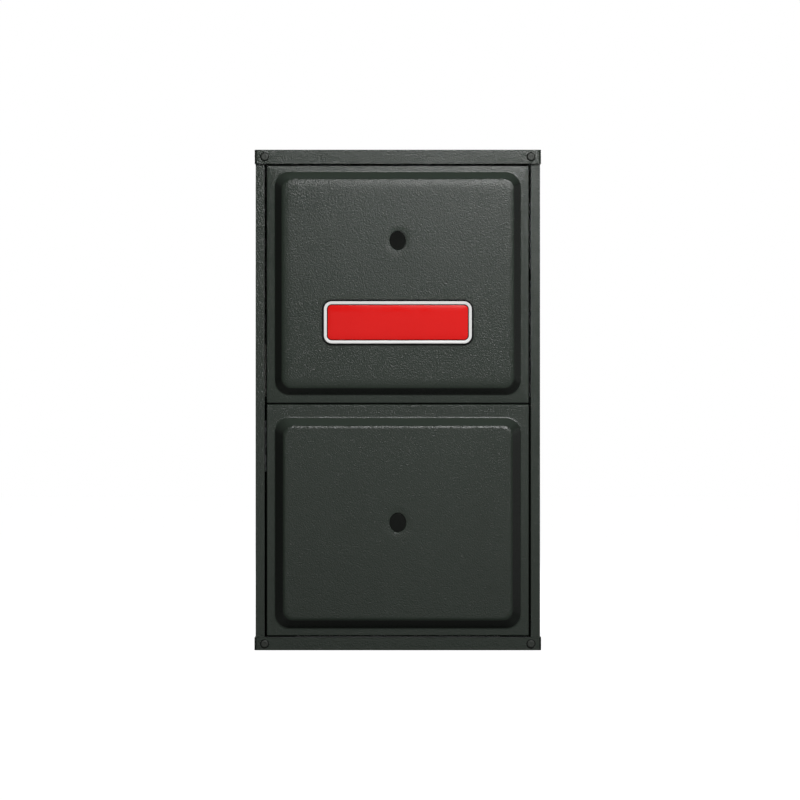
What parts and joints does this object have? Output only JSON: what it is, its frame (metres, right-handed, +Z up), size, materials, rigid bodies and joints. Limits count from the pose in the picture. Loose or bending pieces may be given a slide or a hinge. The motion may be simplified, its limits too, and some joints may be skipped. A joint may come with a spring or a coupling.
{
  "type": "forced air gas furnace",
  "caption": "Upflow forced air gas furnace in a dark sheet-metal cabinet with two pull-off pressed doors, tubular heat exchanger, gas train, inducer, blower and controls.",
  "frame": {"origin": "bottom centre of the overall box, on the floor", "axes": "+Z up, -Y out of the doors towards the user, +X to the right seen from the front"},
  "size_m": [0.502, 0.7298, 0.876],
  "materials": {
    "powder_coat": "textured powder coat",
    "sight_glass": "smooth dark lens",
    "badge": "gloss moulded plate",
    "screw_steel": "coated to match the rails",
    "galvanized": "galvanized sheet",
    "aluminized": "aluminized sheet",
    "aluminium": "cast or rolled",
    "bright_steel": "ground steel",
    "black_pipe": "oiled black iron",
    "black_plastic": "moulded",
    "grey_plastic": "moulded",
    "white_plastic": "extruded or moulded",
    "red_plastic": "moulded",
    "motor_enamel": "black enamel",
    "rubber": "matt",
    "circuit_board": "solder mask",
    "ceramic": "fired ceramic"
  },
  "bodies": {
    "cabinet": {"cabinet_left_side": "powder_coat", "cabinet_right_side": "powder_coat", "cabinet_back": "powder_coat", "top_plate": "powder_coat", "top_front_rail": "powder_coat", "bottom_front_rail": "powder_coat", "top_screw_left": "screw_steel", "top_screw_right": "screw_steel", "bottom_screw_left": "screw_steel", "bottom_screw_right": "screw_steel", "base_pan": "galvanized", "blower_deck": "galvanized", "vestibule_panel": "galvanized", "control_plate": "galvanized", "junction_box": "galvanized", "blower_housing": "galvanized", "primary_tube_1": "aluminized", "primary_tube_2": "aluminized", "primary_tube_3": "aluminized", "primary_tube_4": "aluminized", "rear_header_box": "aluminized", "burner_box": "aluminized", "burner_1": "aluminized", "burner_2": "aluminized", "burner_3": "aluminized", "burner_4": "aluminized", "secondary_coil": "aluminium", "gas_valve": "aluminium", "motor_mount": "bright_steel", "gas_manifold": "black_pipe", "gas_inlet_pipe": "black_pipe", "transformer": "black_pipe", "inducer_housing": "black_plastic", "rollout_switch": "black_plastic", "limit_switch": "black_plastic", "door_switch": "black_plastic", "collector_box": "grey_plastic", "pressure_switch": "grey_plastic", "vent_pipe": "white_plastic", "air_intake_pipe": "white_plastic", "condensate_trap": "white_plastic", "inducer_motor": "motor_enamel", "blower_motor": "motor_enamel", "pressure_hose": "rubber", "condensate_hose": "rubber", "control_board": "circuit_board", "hot_surface_igniter": "ceramic", "flame_sensor": "ceramic"},
    "upper_door": {"upper_door": "powder_coat", "upper_sight_glass": "sight_glass", "badge_plate": "badge"},
    "lower_door": {"lower_door": "powder_coat", "lower_sight_glass": "sight_glass"},
    "blower_rotor": {"blower_wheel": "galvanized", "blower_shaft": "bright_steel"},
    "inducer_rotor": {"inducer_wheel": "grey_plastic", "inducer_shaft": "bright_steel"},
    "gas_valve_knob": {"gas_valve_knob": "red_plastic"},
    "rollout_reset_button": {"rollout_reset_button": "red_plastic"},
    "door_switch_plunger": {"door_switch_plunger": "white_plastic"}
  },
  "joints": [
    {"name": "upper_door_pull", "type": "slide", "parent": "cabinet", "child": "upper_door", "axis": [0, -1, 0], "range_m": [0, 0.3]},
    {"name": "lower_door_pull", "type": "slide", "parent": "cabinet", "child": "lower_door", "axis": [0, -1, 0], "range_m": [0, 0.3]},
    {"name": "blower_spin", "type": "hinge", "parent": "cabinet", "child": "blower_rotor", "pos_m": [0, 0.06, 0.225], "axis": [1, 0, 0], "continuous": true},
    {"name": "inducer_spin", "type": "hinge", "parent": "cabinet", "child": "inducer_rotor", "pos_m": [0.115, -0.2, 0.56], "axis": [0, 1, 0], "continuous": true},
    {"name": "gas_valve_knob_turn", "type": "hinge", "parent": "cabinet", "child": "gas_valve_knob", "pos_m": [-0.2001, -0.3134, 0.745], "axis": [0, 1, 0], "range_deg": [0, 90]},
    {"name": "rollout_reset_press", "type": "slide", "parent": "cabinet", "child": "rollout_reset_button", "axis": [0, 0, -1], "range_m": [0, 0.002], "stiffness_N_per_m": 400, "springref_m": -0.001},
    {"name": "door_switch_plunger_travel", "type": "slide", "parent": "cabinet", "child": "door_switch_plunger", "axis": [0, -1, 0], "range_m": [0, 0.006]}
  ],
  "couplings": [
    {"joint": "door_switch_plunger_travel", "follows": "lower_door_pull", "ratio": 0.02}
  ]
}
